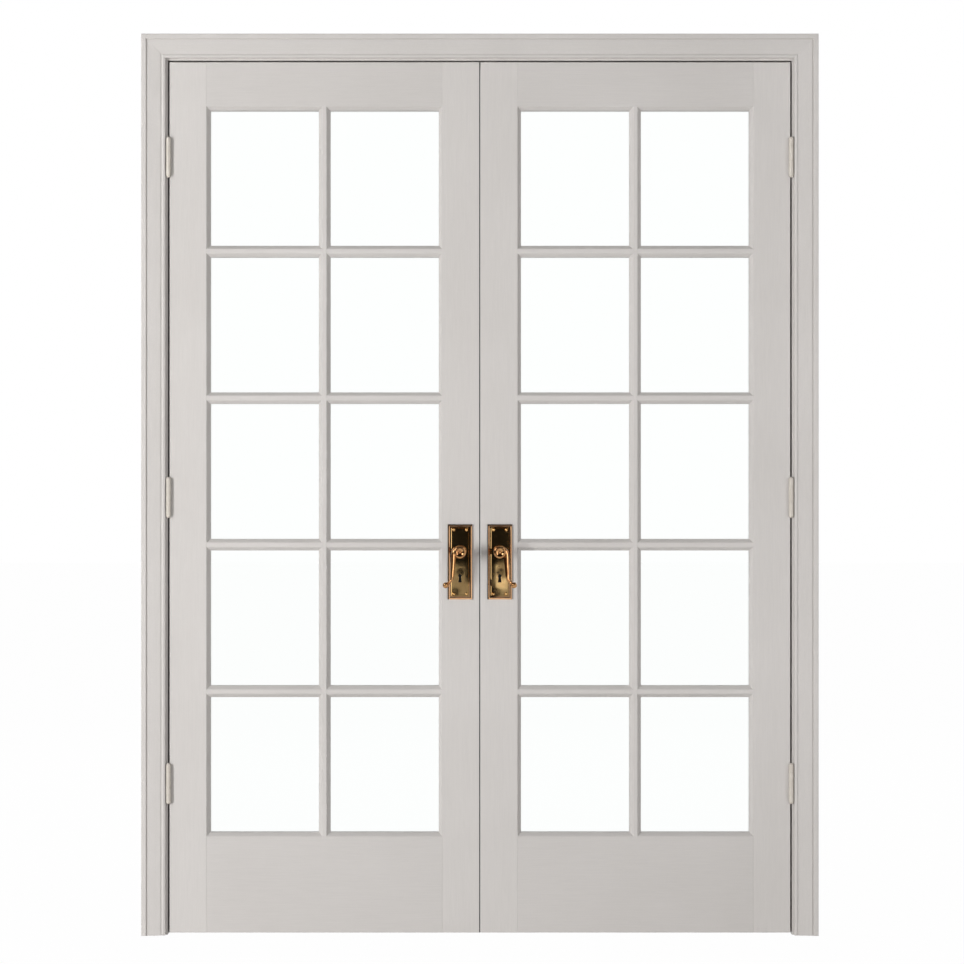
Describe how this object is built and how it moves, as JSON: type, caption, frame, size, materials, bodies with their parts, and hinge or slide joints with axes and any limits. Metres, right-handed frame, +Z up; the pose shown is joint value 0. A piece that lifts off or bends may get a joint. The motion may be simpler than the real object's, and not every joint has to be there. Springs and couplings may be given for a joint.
{
  "type": "double glass door",
  "caption": "Double timber door with small glass panes, hung on butt hinges in a cased frame, with brass lever handles, a mortice lock and flush bolts.",
  "frame": {"origin": "on the floor, midway between the leaves, in the middle of their thickness", "axes": "+Z up, +X to the right seen from the front, the front faces -Y"},
  "size_m": [1.584, 0.159, 2.1095],
  "materials": {
    "paint": "satin off-white paint on timber",
    "hinge_paint": "steel painted over with the frame",
    "glass": "clear float glass",
    "brass": "polished brass",
    "steel": "plain steel",
    "pile": "dark pile seal"
  },
  "bodies": {
    "frame": {"left_jamb": "paint", "right_jamb": "paint", "head_jamb": "paint", "left_stop": "paint", "right_stop": "paint", "head_stop": "paint", "left_casing": "paint", "right_casing": "paint", "head_casing": "paint", "hinge_pins": "hinge_paint", "left_bottom_jamb_hinge_plate": "hinge_paint", "left_middle_jamb_hinge_plate": "hinge_paint", "left_top_jamb_hinge_plate": "hinge_paint", "right_bottom_jamb_hinge_plate": "hinge_paint", "right_middle_jamb_hinge_plate": "hinge_paint", "right_top_jamb_hinge_plate": "hinge_paint"},
    "left_leaf": {"left_hinge_stile": "paint", "left_meeting_stile": "paint", "left_top_rail": "paint", "left_bottom_rail": "paint", "left_vertical_bars": "paint", "left_cross_bars": "paint", "left_glazing_beads": "paint", "left_panes": "glass", "left_front_plate": "brass", "left_back_plate": "brass", "left_plate_screws": "brass", "left_bottom_leaf_hinge_plate": "hinge_paint", "left_middle_leaf_hinge_plate": "hinge_paint", "left_top_leaf_hinge_plate": "hinge_paint", "lock_case": "steel", "lock_forend": "brass", "meeting_seal": "pile"},
    "left_handle": {"left_front_lever": "brass", "left_back_lever": "brass", "left_spindle": "steel"},
    "right_leaf": {"right_hinge_stile": "paint", "right_meeting_stile": "paint", "right_top_rail": "paint", "right_bottom_rail": "paint", "right_vertical_bars": "paint", "right_cross_bars": "paint", "right_glazing_beads": "paint", "right_panes": "glass", "right_front_plate": "brass", "right_back_plate": "brass", "right_plate_screws": "brass", "right_bottom_leaf_hinge_plate": "hinge_paint", "right_middle_leaf_hinge_plate": "hinge_paint", "right_top_leaf_hinge_plate": "hinge_paint", "strike_plate": "brass", "flush_bolt_faceplates": "brass"},
    "right_handle": {"right_front_lever": "brass", "right_back_lever": "brass", "right_spindle": "steel"},
    "latch_bolt": {"latch_bolt": "brass"},
    "deadbolt": {"deadbolt": "brass"},
    "top_flush_bolt": {"top_flush_bolt": "brass"},
    "bottom_flush_bolt": {"bottom_flush_bolt": "brass"}
  },
  "joints": [
    {"name": "left_leaf_swing", "type": "hinge", "parent": "frame", "child": "left_leaf", "pos_m": [-0.7295, -0.026, 0], "axis": [0, 0, -1], "range_deg": [0, 165]},
    {"name": "right_leaf_swing", "type": "hinge", "parent": "frame", "child": "right_leaf", "pos_m": [0.7295, -0.026, 0], "axis": [0, 0, 1], "range_deg": [0, 165]},
    {"name": "left_handle_turn", "type": "hinge", "parent": "left_leaf", "child": "left_handle", "pos_m": [-0.0465, 0, 0.898], "axis": [0, 1, 0], "range_deg": [0, 55]},
    {"name": "right_handle_turn", "type": "hinge", "parent": "right_leaf", "child": "right_handle", "pos_m": [0.0465, 0, 0.898], "axis": [0, -1, 0], "range_deg": [0, 55]},
    {"name": "latch_slide", "type": "slide", "parent": "left_leaf", "child": "latch_bolt", "axis": [1, 0, 0], "range_m": [0, 0.012]},
    {"name": "deadbolt_slide", "type": "slide", "parent": "left_leaf", "child": "deadbolt", "axis": [1, 0, 0], "range_m": [0, 0.014]},
    {"name": "top_flush_bolt_slide", "type": "slide", "parent": "right_leaf", "child": "top_flush_bolt", "axis": [0, 0, 1], "range_m": [0, 0.014]},
    {"name": "bottom_flush_bolt_slide", "type": "slide", "parent": "right_leaf", "child": "bottom_flush_bolt", "axis": [0, 0, -1], "range_m": [0, 0.014]}
  ],
  "couplings": [
    {"joint": "latch_slide", "follows": "left_handle_turn", "m_per_rad": 0.0125}
  ]
}
